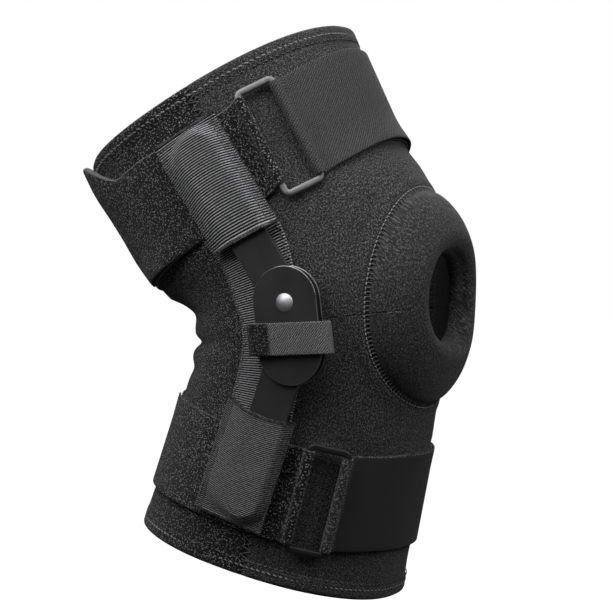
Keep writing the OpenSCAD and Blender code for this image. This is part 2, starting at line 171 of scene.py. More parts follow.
class Nodes:
    """A material's node tree, with short calls for the nodes used here."""

    def __init__(self, name, roughness, metallic=0.0):
        self.material = bpy.data.materials.new(name)
        self.material.use_nodes = True
        self.tree = self.material.node_tree
        self.shader = self.tree.nodes["Principled BSDF"]
        self.shader.inputs["Roughness"].default_value = roughness
        self.shader.inputs["Metallic"].default_value = metallic

    def add(self, kind, links=(), **values):
        node = self.tree.nodes.new(kind)
        for key, value in values.items():
            setattr(node, key, value)
        for socket, source in dict(links).items():
            if isinstance(source, bpy.types.NodeSocket):
                self.tree.links.new(source, node.inputs[socket])
            else:
                node.inputs[socket].default_value = source
        return node

    def weave(self):
        return self.add("ShaderNodeAttribute", attribute_name="weave").outputs["Vector"]

    def split(self, vector):
        return self.add("ShaderNodeSeparateXYZ", {"Vector": vector}).outputs

    def join(self, x, y, z=0.0):
        return self.add("ShaderNodeCombineXYZ", {"X": x, "Y": y, "Z": z}).outputs["Vector"]

    def math(self, operation, *values):
        return self.add("ShaderNodeMath", dict(enumerate(values)), operation=operation).outputs[0]

    def noise(self, vector, scale, detail=2.0, roughness=0.5):
        links = {"Vector": vector, "Scale": scale, "Detail": detail, "Roughness": roughness}
        return self.add("ShaderNodeTexNoise", links).outputs["Fac"]

    def cells(self, vector, scale, randomness=1.0):
        links = {"Vector": vector, "Scale": scale, "Randomness": randomness}
        return self.add("ShaderNodeTexVoronoi", links).outputs["Distance"]

    def wave(self, value, pitch):
        """0 to 1 and back, once in each pitch."""
        turned = self.math("MULTIPLY", value, 2 * math.pi / pitch)
        return self.math("MULTIPLY_ADD", self.math("COSINE", turned), 0.5, 0.5)

    def ramp(self, value, stops):
        node = self.add("ShaderNodeValToRGB", {"Fac": value})
        elements = node.color_ramp.elements
        while len(elements) < len(stops):
            elements.new(0.5)
        for element, (place, grey) in zip(elements, stops):
            element.position = place
            element.color = (grey, grey, grey * 1.02, 1.0)
        return node.outputs["Color"]

    def range(self, value, low, high, new_low, new_high):
        links = {"Value": value, "From Min": low, "From Max": high, "To Min": new_low, "To Max": new_high}
        return self.add("ShaderNodeMapRange", links).outputs["Result"]

    def colour(self, source):
        self.tree.links.new(source, self.shader.inputs["Base Color"])

    def rough(self, source):
        self.tree.links.new(source, self.shader.inputs["Roughness"])

    def bump(self, height, depth_mm):
        links = {"Height": height, "Distance": depth_mm * MM, "Strength": 1.0}
        normal = self.add("ShaderNodeBump", links).outputs["Normal"]
        self.tree.links.new(normal, self.shader.inputs["Normal"])

    def sheen(self, weight, roughness):
        self.shader.inputs["Sheen Weight"].default_value = weight
        self.shader.inputs["Sheen Roughness"].default_value = roughness


def knit_material(name, dark, light, speck):
    """Fine knitted face of the neoprene: tiny loops with a scatter of lighter specks."""
    n = Nodes(name, 0.9)
    weave = n.weave()
    loops = n.cells(weave, 2.0, 0.8)
    grain = n.noise(weave, 1.35, 3.0, 0.7)
    mix = n.math("MULTIPLY_ADD", loops, -0.35, grain)
    n.colour(n.ramp(mix, [(0.12, dark), (0.32, light), (0.50, speck)]))
    n.bump(n.math("ADD", loops, n.math("MULTIPLY", grain, 0.6)), 0.22)
    n.sheen(0.15, 0.5)
    return n.material


def plush_material(name, dark, light, painted_glint, size=1.0):
    """Brushed loop pile, coloured from its height: painted shade in the pits between coarse loops and a
    painted highlight on their tops.
    """
    n = Nodes(name, 0.95)
    weave = n.weave()
    warp = n.noise(weave, 0.35 / size, 2.0)
    shift = n.join(warp, warp, warp)
    moved = n.add("ShaderNodeVectorMath", {0: weave, 1: shift}, operation="ADD").outputs[0]
    tufts = n.cells(moved, 0.85 / size)
    fuzz = n.noise(weave, 1.7 / size, 3.0, 0.7)
    height = n.math("SUBTRACT", n.math("MULTIPLY", fuzz, 1.5), tufts)
    # Painted shade in the low pits, painted highlight on the high loop tops.
    n.colour(n.ramp(height, [(0.22, dark), (0.42, light), (0.62, painted_glint)]))
    n.bump(height, 0.55 * size)
    n.sheen(0.2, 0.4)
    return n.material


def ribbed_material(name, dark, light, thread_pitch):
    """Ribbed elastic webbing, coloured from its rib height: a painted highlight on the ridges of fine
    threads and painted shade in the valleys.
    """
    n = Nodes(name, 0.8)
    weave = n.weave()
    along, _, height = n.split(weave)
    threads = n.wave(along, thread_pitch)
    grain = n.noise(weave, 1.1, 2.0)
    lift = n.math("MULTIPLY", height, n.math("MULTIPLY_ADD", threads, 0.3, 0.7))
    value = n.math("MULTIPLY", lift, n.range(grain, 0.3, 0.7, 0.75, 1.1))
    # Painted highlight on the high ridges, painted shade in the low valleys.
    n.colour(n.ramp(value, [(0.40, dark), (0.92, light)]))
    n.bump(threads, 0.12)
    n.sheen(0.1, 0.5)
    return n.material


def twill_material(name, dark, light, pitch, slope=1.0, depth=0.2):
    """Woven elastic: fine diagonal lines broken into short floats."""
    n = Nodes(name, 0.78)
    weave = n.weave()
    along, across, _ = n.split(weave)
    grain = n.noise(weave, 0.8, 2.0)
    wander = n.math("MULTIPLY_ADD", grain, 0.9 * pitch, across)
    lines = n.wave(n.math("MULTIPLY_ADD", along, slope, wander), pitch)
    floats = n.wave(n.math("MULTIPLY_ADD", along, -slope * 1.6, wander), pitch * 1.15)
    cloth = n.math("MULTIPLY", lines, n.math("MULTIPLY_ADD", floats, 0.7, 0.3))
    n.colour(n.ramp(n.math("MULTIPLY_ADD", grain, 0.35, cloth), [(0.12, dark), (1.1, light)]))
    n.bump(cloth, depth)
    n.sheen(0.12, 0.5)
    return n.material


def thread_material(name, grey):
    """Twisted polyester thread."""
    n = Nodes(name, 0.6)
    place = n.add("ShaderNodeTexCoord").outputs["Object"]
    twist = n.noise(place, 1400.0, 2.0)
    n.colour(n.ramp(twist, [(0.3, grey * 0.5), (0.7, grey)]))
    n.bump(twist, 0.08)
    return n.material


def coated_material(name, grey, roughness, grain_mm=0.03):
    """Satin black coating on steel, with a fine orange-peel and slight rubbed patches."""
    n = Nodes(name, roughness)
    place = n.add("ShaderNodeTexCoord").outputs["Object"]
    peel = n.noise(place, 1500.0, 2.0)
    rubbed = n.noise(place, 60.0, 4.0, 0.6)
    n.colour(n.ramp(rubbed, [(0.3, grey), (0.75, grey * 1.35)]))
    n.rough(n.range(rubbed, 0.3, 0.7, roughness * 0.85, roughness * 1.2))
    n.bump(peel, grain_mm)
    n.shader.inputs["Specular IOR Level"].default_value = 0.5
    return n.material


def metal_material(name, grey, roughness, scratch=220.0):
    """Plated metal with soft scratches and dull patches."""
    n = Nodes(name, roughness, 1.0)
    place = n.add("ShaderNodeTexCoord").outputs["Object"]
    dull = n.noise(place, 90.0, 4.0, 0.6)
    fine = n.noise(place, scratch * 6, 3.0)
    n.colour(n.ramp(dull, [(0.25, grey * 0.72), (0.7, grey)]))
    n.rough(n.range(dull, 0.3, 0.7, roughness * 0.8, roughness * 1.35))
    n.bump(fine, 0.03)
    return n.material


def nylon_material(name):
    n = Nodes(name, 0.5)
    place = n.add("ShaderNodeTexCoord").outputs["Object"]
    cloud = n.noise(place, 300.0, 3.0)
    n.colour(n.ramp(cloud, [(0.3, 0.5), (0.7, 0.62)]))
    n.bump(cloud, 0.03)
    return n.material


KNIT = knit_material("knit_face", 0.003, 0.017, 0.24)
PAD_KNIT = knit_material("pad_knit", 0.007, 0.024, 0.17)
# Plush colours: the dark value is painted shade in the pits, the fourth a painted highlight on the loop
# tops.
PLUSH = plush_material("plush_face", 0.001, 0.013, 0.50, 0.9)
STRAP_PLUSH = plush_material("plush_strap", 0.001, 0.016, 0.55, 0.9)
HOOK = plush_material("hook_patch", 0.001, 0.012, 0.30, 0.9)
# Ribbed webbing: the light value is a painted highlight on the ridges, the dark one painted shade in the
# valleys.
RIBBED = ribbed_material("ribbed_webbing", 0.001, 0.95, 0.5)
FINE_RIBBED = ribbed_material("fine_ribbed_webbing", 0.001, 0.70, 0.45)
TWILL = twill_material("thigh_elastic", 0.002, 0.14, 1.45, -0.75, 0.3)
SMOOTH_TWILL = twill_material("calf_elastic", 0.020, 0.034, 1.0, 1.0, 0.08)
# Also a plush: painted shade in its pits, a painted highlight on its loop tops.
FOLD_BAND = plush_material("elastic_fold", 0.03, 0.10, 0.45, 0.8)
BINDING = twill_material("strap_binding", 0.06, 0.34, 1.0, 1.0, 0.12)
TWILL_EDGE = twill_material("thigh_elastic_edge", 0.012, 0.18, 1.45, -0.75)
KEEPER_TWILL = twill_material("keeper_twill", 0.001, 0.42, 1.5, 1.2, 0.3)
THREAD = thread_material("thread", 0.16)
LIGHT_THREAD = thread_material("light_thread", 0.44)
BLACK_STEEL = coated_material("black_steel", 0.036, 0.40)
# Lighter metal on the bevelled edges: partly wear through the coating, partly a painted highlight along the
# edges.
WORN_AND_HIGHLIGHT_EDGE = metal_material("worn_and_highlight_edge", 0.55, 0.3)
RIVET = metal_material("rivet_plate", 0.85, 0.48)
ZINC = metal_material("zinc_wire", 0.34, 0.55)
# Calf ring: the coated material in near-black, painted shade for a ring that lies in shadow.
PAINTED_SHADE_WIRE = coated_material("painted_shade_wire", 0.02, 0.3)
NYLON = nylon_material("washer_nylon")

# ---- Meshes ----


def add_mesh(name, points, faces, materials, weave=None, face_materials=None):
    """A smooth closed mesh from points in the plates' frame."""
    mesh = bpy.data.meshes.new(name)
    mesh.from_pydata(worn(points).reshape(-1, 3).tolist(), [], faces)
    if weave is not None:
        layer = mesh.attributes.new("weave", "FLOAT_VECTOR", "POINT")
        layer.data.foreach_set("vector", weave.astype(np.float32).ravel())
    if face_materials is not None:
        mesh.polygons.foreach_set("material_index", face_materials)
    work = bmesh.new()
    work.from_mesh(mesh)
    bmesh.ops.recalc_face_normals(work, faces=work.faces)
    for face in work.faces:
        face.smooth = True
    work.to_mesh(mesh)
    work.free()
    for material in materials if isinstance(materials, (list, tuple)) else [materials]:
        mesh.materials.append(material)
    piece = bpy.data.objects.new(name, mesh)
    bpy.context.scene.collection.objects.link(piece)
    return piece


def loft_faces(columns, ring, closed=False):
    """Faces of a skin through closed rings of points, capped at both ends unless it closes on itself."""
    index = np.arange(columns * ring).reshape(columns, ring)
    a = index if closed else index[:-1]
    b = np.roll(index, -1, 0) if closed else index[1:]
    quads = np.stack([a, np.roll(a, -1, 1), np.roll(b, -1, 1), b], -1).reshape(-1, 4).tolist()
    return quads if closed else quads + [index[0][::-1].tolist(), index[-1].tolist()]


class Section:
    """Outline of a flat band's section.

    It holds the share across the width, the reach round the edges, and the height from 0 to 1."""

    def __init__(self, across, across_inside=None, turn=5):
        outside = np.linspace(0, 1, across)
        inside = np.linspace(1, 0, across_inside or max(8, across // 3))
        bow = np.radians(np.linspace(90, -90, turn + 2)[1:-1])
        self.share = np.concatenate([outside, np.ones(turn), inside, np.zeros(turn)])
        self.reach = np.concatenate([0 * outside, np.cos(bow), 0 * inside, -np.cos(bow)])
        self.height = np.concatenate(
            [0 * outside + 1, (1 + np.sin(bow)) / 2, 0 * inside, (1 - np.sin(bow)) / 2])
        self.count = len(self.share)

    def across(self, width, thickness):
        """Millimetres across a band of that width, its edges rounded over its thickness."""
        e = thickness / 2
        return e + (width - thickness) * self.share + e * self.reach


def band(name, phis, low, high, r_in, r_out, section, materials, detail, height=None, turn=None):
    """A band on the sleeve between leg lengths low and high, turned round the leg by turn(s)."""
    phi = np.repeat(phis[:, None], section.count, 1)
    low, high = (np.broadcast_to(v, phis.shape)[:, None] for v in (low, high))
    s = low + section.across(high - low, r_out - r_in)
    r = r_in + (r_out - r_in) * section.height
    r = r + detail(s, phi) * section.height
    if turn is not None:
        phi = phi + turn(s)
    up = np.zeros(s.shape) if height is None else height(s, phi)
    weave = np.stack([arc(phi), s, up], -1)
    return add_mesh(name, skin(s, phi, r), loft_faces(len(phis), section.count), materials, weave)


def bend(piece, side):
    """Bakes a piece's transform into its mesh; pieces above (side 1) and below (side -1) the middle of the
    hinges are treated alike.
    """
    if side > 0:
        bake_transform(piece)
    else:
        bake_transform(piece)
    return piece


def part_and_bend(piece, upper_nodes=(), lower_nodes=()):
    """Parts a piece at the middle of the hinges, caps each half, hides the CAD nodes it stands for, and
    bakes each half's transform.
    """
    for side, tag, nodes in ((1, "upper", upper_nodes), (-1, "lower", lower_nodes)):
        half = piece.copy()
        half.data = piece.data.copy()
        half.name = f"{piece.name}_{tag}"
        bpy.context.scene.collection.objects.link(half)
        work = bmesh.new()
        work.from_mesh(half.data)
        geometry = work.verts[:] + work.edges[:] + work.faces[:]
        bmesh.ops.bisect_plane(
            work, geom=geometry, dist=1e-7, plane_co=(0, 0, 0), plane_no=UP_PLATES,
            clear_inner=side > 0, clear_outer=side < 0)
        rims = [edge for edge in work.edges if edge.is_boundary]
        for face in bmesh.ops.holes_fill(work, edges=rims, sides=0)["faces"]:
            face.smooth = False
        work.to_mesh(half.data)
        work.free()
        if nodes:
            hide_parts(*nodes)
        bend(half, side)
    bpy.data.objects.remove(piece)


def stitches(name, starts, ends, ups, radius, bow, material):
    """Raised stitches, one spindle from each start to its end, bowed out along ups."""
    along = np.array([0.0, 0.14, 0.5, 0.86, 1.0])
    girth = radius * np.array([0.35, 0.85, 1.0, 0.85, 0.35])
    turns = np.radians(np.arange(0, 360, 60))
    run = ends - starts
    forward = run / np.linalg.norm(run, axis=1, keepdims=True)
    side = np.cross(forward, ups)
    side /= np.linalg.norm(side, axis=1, keepdims=True)
    top = np.cross(side, forward)
    arch = (bow * np.sin(np.pi * along))[:, None]
    centres = starts[:, None] + run[:, None] * along[:, None] + ups[:, None] * arch
    spokes = top[:, None] * np.cos(turns)[:, None] + side[:, None] * np.sin(turns)[:, None]
    points = centres[:, :, None] + spokes[:, None] * girth[:, None, None]
    one = loft_faces(len(along), len(turns))
    each = len(along) * len(turns)
    faces = [[v + k * each for v in face] for k in range(len(starts)) for face in one]
    return add_mesh(name, points, faces, material)


def skin_stitches(name, start, end, r, radius, bow, material):
    """Stitches lying on the sleeve between pairs of (s, phi)."""
    (s0, phi0), (s1, phi1) = start, end
    ups = outward((s0 + s1) / 2, (phi0 + phi1) / 2)
    return stitches(name, skin(s0, phi0, r), skin(s1, phi1, r), ups, radius, bow, material)


def from_cad(node, bevel, materials, body):
    """A copy of a rigid CAD node's mesh with its sharp edges broken, in the node's place."""
    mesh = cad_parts[node].data.copy()
    mesh.materials.clear()
    work = bmesh.new()
    work.from_mesh(mesh)
    bmesh.ops.remove_doubles(work, verts=work.verts, dist=2e-6)
    bmesh.ops.dissolve_limit(work, angle_limit=math.radians(1.0), verts=work.verts, edges=work.edges)
    for face in work.faces:
        face.smooth = True
    work.to_mesh(mesh)
    work.free()
    for material in materials:
        mesh.materials.append(material)
    piece = bpy.data.objects.new(node + "_finished", mesh)
    bpy.context.scene.collection.objects.link(piece)
    edge = piece.modifiers.new("edge", "BEVEL")
    edge.width = bevel * MM
    edge.segments = 3
    edge.limit_method = "ANGLE"
    edge.angle_limit = math.radians(40)
    # The bevel faces take the last slot; on the steel parts that is the lighter edge metal, wear and painted
    # highlight.
    edge.material = len(materials) - 1
    normals = piece.modifiers.new("normals", "WEIGHTED_NORMAL")
    normals.keep_sharp = True
    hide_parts(node)
    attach(piece, body)
    return piece


# ---- Sleeve ----

STRAP_BANDS = [(THIGH_STRAP_S, THIGH_SLANT), (CALF_STRAP_S, CALF_SLANT)]


def strap_low(s, slant, phi):
    """Lower edge of a strap at phi."""
    return s + slant * np.maximum(0, np.cos(np.radians(phi)))


def bare(s, phi):
    """1 where the sleeve lies free, and 0 under the straps."""
    free = np.ones(np.shape(s))
    for strap_s, slant in STRAP_BANDS:
        low = strap_low(strap_s, slant, phi)
        inside = np.minimum(s - low, low + STRAP_W - s)
        free = free * (1 - smooth((inside + 3.5) / 3.5))
    return free


def hem_height(s):
    """Raised folded hem at both rims."""
    from_rim = np.minimum(THIGH_END - s, s - CALF_END)
    fold = 0.45 * smooth((8.4 - from_rim) / 0.9)
    sunk_rows = 0.35 * bell(from_rim - 8.9, 0.9) + 0.2 * bell(from_rim - 5.2, 0.8)
    return fold - sunk_rows


def sleeve_detail(s, phi):
    """Height of hems, sunken seams and the neoprene's soft waves over the plain sleeve."""
    seam_mm = np.minimum(np.abs(arc(phi) - arc(SEAM_PHI)), np.abs(arc(phi) - arc(-SEAM_PHI)))
    seam_mm = np.minimum(seam_mm, np.abs(arc(phi) - arc(360 - SEAM_PHI)))
    waves = 0.35 * np.sin(s / 11 + phi / 17) * np.sin(phi / 13 - s / 19) + 0.2 * np.sin(s / 6.5 - phi / 9)
    return hem_height(s) - 0.55 * bell(seam_mm, 1.5) + bare(s, phi) * (waves - 0.1)


# Folds behind the knee: leg length, drop towards the sides, depth, width, and the swelling beside each
KNEE_FOLDS = [(-3.0, 7.0, 2.6, 4.5, 1.1), (24.0, 12.0, 0.9, 7.0, 0.5), (-30.0, -9.0, 0.8, 7.0, 0.5)]


def fold_detail(s, phi):
    """Creases and swellings of the fabric that is squeezed behind the bent knee."""
    aside = (phi - 180) / 70
    total = np.zeros(np.shape(s))
    for at, drop, depth, width, swell in KNEE_FOLDS:
        x = s - at + drop * aside**2
        window = smooth((1.12 - np.abs(aside)) / 0.75)
        crease = swell * bell(x - 2.6 * width, 1.9 * width) + swell * bell(x + 2.6 * width, 1.9 * width)
        total = total + window * (crease - depth * bell(x, width))
    return total


def front_detail(s, phi):
    d = pad_distance(s, phi)
    around = 0.7 * bell(d - 61.5, 3.0) - 0.6 * bell(d - PAD_R, 2.6)
    return sleeve_detail(s, phi) * smooth((d - 58) / 6) + around * bare(s, phi)


def back_detail(s, phi):
    return sleeve_detail(s, phi) + fold_detail(s, phi) * bare(s, phi)


def cut_kneecap_hole(panel, radius):
    """Opens the front panel under the pad ring and closes its edge."""
    work = bmesh.new()
    work.from_mesh(panel.data)
    layer = work.verts.layers.float_vector["weave"]
    places = {}
    for vert in work.verts:
        phi = float(np.interp(vert[layer][0], ARC_LENGTH, ARC_PHI))
        places[vert] = (vert[layer][1], phi, float(pad_distance(vert[layer][1], phi)))
    inside = [face for face in work.faces if all(places[v][2] < radius for v in face.verts)]
    bmesh.ops.delete(work, geom=inside, context="FACES")
    rims = [edge for edge in work.edges if edge.is_boundary]
    for vert in {v for edge in rims for v in edge.verts}:
        s, phi, _ = places[vert]
        outer = np.array(vert.co) / MM
        near, far = worn(skin(s, phi, -SLEEVE_T)) / MM, worn(skin(s, phi, 0.0)) / MM
        r = 0.0 if np.linalg.norm(outer - far) < np.linalg.norm(outer - near) else -SLEEVE_T
        w = math.atan2((s - PAD_S) / PAD_SCALE, math.radians(phi) * HALF_WIDTH)
        vert.co = Vector(worn(skin(*pad_place(radius, w), r)))
    bmesh.ops.bridge_loops(work, edges=rims)
    bmesh.ops.recalc_face_normals(work, faces=work.faces)
    work.to_mesh(panel.data)
    work.free()


def front_panel():
    phis = np.linspace(-SEAM_PHI + SEAM_GAP, SEAM_PHI - SEAM_GAP, 166)
    section = Section(262, 90)
    panel = band(
        "front_panel", phis, CALF_END, THIGH_END, -SLEEVE_T, 0.0, section, KNIT, front_detail)
    cut_kneecap_hole(panel, PAD_R - 4.0)
    part_and_bend(
        panel, ["thigh_front_panel", "knee_front_panel"], ["knee_front_panel", "calf_front_panel"])


def back_panel():
    phis = np.linspace(SEAM_PHI + SEAM_GAP, 360 - SEAM_PHI - SEAM_GAP, 198)
    section = Section(262, 90)
    panel = band(
        "back_panel", phis, CALF_END, THIGH_END, -SLEEVE_T, 0.0, section, PLUSH, back_detail)
    part_and_bend(panel, ["thigh_back_panel", "knee_back_panel"], ["knee_back_panel", "calf_back_panel"])


def side_seams():
    """Zigzag over both side seams, from rim to rim."""
    step, swing = 2.3, 1.9
    levels = np.arange(CALF_END + 2, THIGH_END - 2, step)
    s0, s1, phi0, phi1 = [], [], [], []
    for seam in (SEAM_PHI, -SEAM_PHI):
        for k, s in enumerate(levels):
            lean = swing if k % 2 else -swing
            s0.append(s)
            s1.append(s + step)
            phi0.append(seam - lean)
            phi1.append(seam + lean)
    start, end = (np.array(s0), np.array(phi0)), (np.array(s1), np.array(phi1))
    part_and_bend(skin_stitches("side_seam_thread", start, end, 0.0, 0.33, 0.15, THREAD))


def hem_threads():
    """Two rows of cover stitch inside each rim."""
    whole = float(arc(360.0) - arc(0.0))
    for name, rim, inward, side in (("thigh", THIGH_END, -1, 1), ("calf", CALF_END, 1, -1)):
        count = int(whole / 2.9)
        at = arc(0.0) + whole * (np.arange(count) + 0.5) / count
        for row, depth, thick, grey in (("outer", 5.4, 0.42, LIGHT_THREAD), ("inner", 8.6, 0.36, THREAD)):
            s = np.full(count, rim + inward * depth)
            half = 0.95 if row == "outer" else 0.8
            phi0, phi1 = (np.interp(at + d, ARC_LENGTH, ARC_PHI) for d in (-half, half))
            start, end = (s - 0.35, phi0), (s + 0.35, phi1)
            bend(skin_stitches(f"{name}_hem_{row}_thread", start, end, 0.12, thick, 0.25, grey), side)


# ---- Kneecap pad ----


def pad_height(d):
    """Height of the padded ring at distance d from the hole's centre."""
    t = np.clip((d - HOLE_R) / (PAD_R - HOLE_R), 0, 1)
    dome = 0.6 + (PAD_H - 0.6) * (1 - t**2.4) ** 0.62
    lip = np.clip((HOLE_R + 8.5 - d) / 8.5, 0, 1)
    return dome - 7.0 * (1 - np.sqrt(1 - np.minimum(lip, 0.9999) ** 2))


def patella_pad():
    """Foam ring: a dome with a rolled lip at the hole, its lining inside the sleeve."""
    out = np.linspace(PAD_RIM, HOLE_R + 0.02, 74)
    dome = pad_height(out)
    dome = np.where(out > 54.5, 0.25 + (dome - 0.25) * smooth((PAD_RIM - out) / 3.1), dome)
    wall = np.linspace(pad_height(HOLE_R), -SLEEVE_T - 0.6, 14)[1:]
    lining = np.linspace(HOLE_R + 1.5, PAD_RIM, 30)
    d = np.concatenate([out, HOLE_R - 0.9 * np.sin(np.linspace(0, np.pi, 13)), lining, [PAD_RIM]])
    r = np.concatenate([dome, wall, 0 * lining - SLEEVE_T - 0.9, [-SLEEVE_T - 0.4]])
    turns = np.linspace(0, 2 * np.pi, 220, endpoint=False)
    far, turn = np.meshgrid(d, turns)
    lift = np.broadcast_to(r, far.shape) + 0.25 * np.sin(3 * turn + 1) * smooth((54 - far) / 12) * (r > 0)
    s, phi = pad_place(far, turn)
    weave = np.stack([arc(phi), s + 0.6 * r, 0 * s], -1)
    faces = loft_faces(len(turns), len(d), closed=True)
    pad = add_mesh("patella_pad_foam", skin(s, phi, lift), faces, PAD_KNIT, weave)
    part_and_bend(pad, ["patella_pad"], ["patella_pad"])


def pad_seam():
    """Flatlock round the pad: an edge row on each side and a ladder of rungs between."""
    count = 140
    turn = 2 * np.pi * np.arange(count) / count
    step = 2 * np.pi / count
    rows = []
    for name, d0, d1, t0, t1, thick, r, grey in (
            ("rung", 53.9, 58.3, 0.0, 0.32, 0.42, 0.5, THREAD),
            ("inner_row", 53.7, 53.7, -0.35, 0.42, 0.36, 0.95, LIGHT_THREAD),
            ("outer_row", 58.5, 58.5, -0.35, 0.42, 0.36, 0.35, LIGHT_THREAD)):
        start, end = pad_place(d0, turn + t0 * step), pad_place(d1, turn + t1 * step)
        rows.append(skin_stitches(f"pad_seam_{name}", start, end, r, thick, 0.25, grey))
    for row in rows:
        part_and_bend(row)


# ---- Webbing strips under the hinges ----

RIB_PITCH = 1.3
STRIP_FRONT, STRIP_REAR = 75.5, 102.5
STRIP_LOW, STRIP_HIGH = -49.0, 57.0


def rib(value, pitch):
    return 0.5 + 0.5 * np.cos(2 * np.pi * value / pitch)


def strip_turn(s):
    """How far round the leg the strip moves to follow the upper bar."""
    return 4.5 * bell(s - 20, 20)


def webbing_strip(name, mirror):
    """Ribbed strip sewn over a side seam, from the calf strap to the thigh strap."""
    phis = np.linspace(STRIP_FRONT, STRIP_REAR, 26)
    phis = phis if not mirror else -phis[::-1]
    turned = -1 if mirror else 1
    section = Section(int((STRIP_HIGH - STRIP_LOW) / RIB_PITCH * 7), 60)
    # The rib height gives its colour: painted highlight on the ridges, painted shade in the valleys.
    strip = band(
        f"{name}_strip", phis, STRIP_LOW, STRIP_HIGH, 0.35, 1.35, section, RIBBED,
        lambda s, phi: 0.28 * rib(s, RIB_PITCH) - 0.14, lambda s, phi: rib(s, RIB_PITCH),
        lambda s: turned * strip_turn(s))
    part_and_bend(strip, [f"{name}_upper_strip", f"{name}_knee_strip"], [f"{name}_knee_strip"])
    step = 2.2
    levels = np.arange(STRIP_LOW + 1.0, STRIP_HIGH - 1.0, step)
    swing = np.where(np.arange(len(levels)) % 2, 0.75, -0.75)
    for edge, phi in (("front", STRIP_FRONT + 0.9), ("rear", STRIP_REAR - 0.9)):
        at = turned * (phi + strip_turn(levels))
        thread = skin_stitches(
            f"{name}_strip_{edge}_thread", (levels, at - swing), (levels + step, at + swing), 1.5, 0.3, 0.15,
            THREAD)
        part_and_bend(thread)


# ---- Bars' own frame: u across, v away from the pivot, h out from the middle of the leg ----


def along_bar(u, v, h, side, mirror):
    c, n = math.cos(BAR_ANGLE), math.sin(BAR_ANGLE)
    u, v, h = np.broadcast_arrays(u, v, h)
    x = side * u * c - v * n
    z = side * PIVOT_Z + u * n + side * v * c
    return np.stack([x, h if mirror else -h, z], -1)


POCKET_HALF = 19.5
# Heights from the middle of the leg: a pocket's roof over the bar, its sewn edge, and its lowest underside
ROOF_H, SEWN_H, UNDERSIDE_H = 73.2, 68.2, 66.75


def pocket_height(u, v, end, middle):
    """Outer face of a pocket's webbing, which slopes from the bar's outline down to the sewn edges."""
    past = np.maximum(0, v - end + BAR_HALF)
    from_axis = np.hypot(u, past)
    side_room = np.maximum(3.4, POCKET_HALF - 0.8 + middle * np.sign(u) - BAR_HALF)
    endward = smooth(past / np.maximum(from_axis, 0.01))
    room = side_room + (5.0 - side_room) * endward
    t = np.clip((from_axis - BAR_HALF + 0.2) / (room + 0.2), 0, 1)
    edge = SEWN_H + 0.9 * (1 - endward)
    return edge + (ROOF_H - edge) * (1 - 0.75 * t - 0.25 * smooth(t))


def pocket(name, side, mirror, start, stop, bar_end, middle, bow, pitch, material):
    """Webbing pocket: ribbed outer face over the bar, flat sewn edges and a thin open shell underneath."""
    rows = int((stop - start) / pitch * 8)
    v0 = np.linspace(start, stop, rows)[:, None]
    w = np.linspace(-POCKET_HALF, POCKET_HALF, 72)
    u = middle + w
    share = (v0 - start) / (stop - start)
    v_out = v0 + bow(share, w / POCKET_HALF)
    hem = np.maximum(smooth((1.9 - (v0 - start)) / 0.5), smooth((1.6 - (stop - v0)) / 0.5))
    ridge = rib(v0, pitch) * (1 - hem) + 0.55 * hem
    sewn = smooth((np.abs(w) - POCKET_HALF + 3.4) / 0.9)
    ridge = ridge * (1 - 0.1 * sewn)
    seam = 0.35 * bell(np.abs(w) - POCKET_HALF + 3.6, 0.5)
    h_out = pocket_height(u, v_out, bar_end, middle) + 0.42 * (ridge - 0.5) + 0.35 * hem - seam
    w_in = np.linspace(POCKET_HALF, -POCKET_HALF, 24)
    u_in = middle + w_in
    v_in = v0 + bow(share, w_in / POCKET_HALF)
    h_in = np.maximum(UNDERSIDE_H, pocket_height(u_in, v_in, bar_end, middle) - 1.5)
    u_all = np.concatenate([np.broadcast_to(u, h_out.shape), np.broadcast_to(u_in, h_in.shape)], 1)
    v_all = np.concatenate([v_out, v_in], 1)
    h_all = np.concatenate([h_out, h_in], 1)
    # Heights for the ribbed colour: painted highlight on the ridges, painted shade in the valleys and on the
    # shell underneath.
    high = np.concatenate([np.broadcast_to(ridge, h_out.shape), 0 * h_in + 0.2], 1)
    points = along_bar(u_all, v_all, h_all, side, mirror)
    weave = np.stack([u_all, v_all, high], -1)
    faces = loft_faces(rows, u_all.shape[1])
    piece = add_mesh(name + "_webbing", points, faces, material, weave)
    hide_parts(name)
    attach(piece, "thigh" if side > 0 else "calf")
    pocket_threads(name, side, mirror, start, stop, bar_end, middle)


def pocket_threads(name, side, mirror, start, stop, bar_end, middle):
    """Two sewn columns along each edge of a pocket, and a row across its closed end."""
    levels = np.arange(start + 1.5, stop - 2.0, 2.1)
    u0, v0, u1, v1 = [], [], [], []
    for column in (-18.4, -16.0, 16.0, 18.4):
        u0 += [middle + column] * len(levels)
        u1 += [middle + column] * len(levels)
        v0 += list(levels)
        v1 += list(levels + 1.5)
    across = middle + np.arange(-17.5, 17.0, 2.1)
    u0 += list(across)
    u1 += list(across + 1.5)
    v0 += [stop - 2.2] * len(across)
    v1 += [stop - 2.2] * len(across)
    u0, v0, u1, v1 = map(np.array, (u0, v0, u1, v1))
    h0, h1 = (pocket_height(u, v, bar_end, middle) + 0.15 for u, v in ((u0, v0), (u1, v1)))
    out = np.broadcast_to([0.0, 1.0 if mirror else -1.0, 0.0], (len(u0), 3))
    thread = stitches(
        name + "_thread", along_bar(u0, v0, h0, side, mirror), along_bar(u1, v1, h1, side, mirror), out,
        0.3, 0.12, THREAD)
    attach(thread, "thigh" if side > 0 else "calf")


def upper_bow(t, w):
    """Bow and slant of the upper pocket's ribs, at share t of its length and w from -1 to 1 across it."""
    return 2.8 * np.sin(np.pi * np.clip(t, 0, 1)) ** 0.7 * (1 - w**2) - (2.4 - 1.2 * t) * w


def lower_bow(t, w):
    """The same for the lower pocket, whose mouth is the most bowed."""
    return 3.0 * (1 - t) * (1 - w**2)


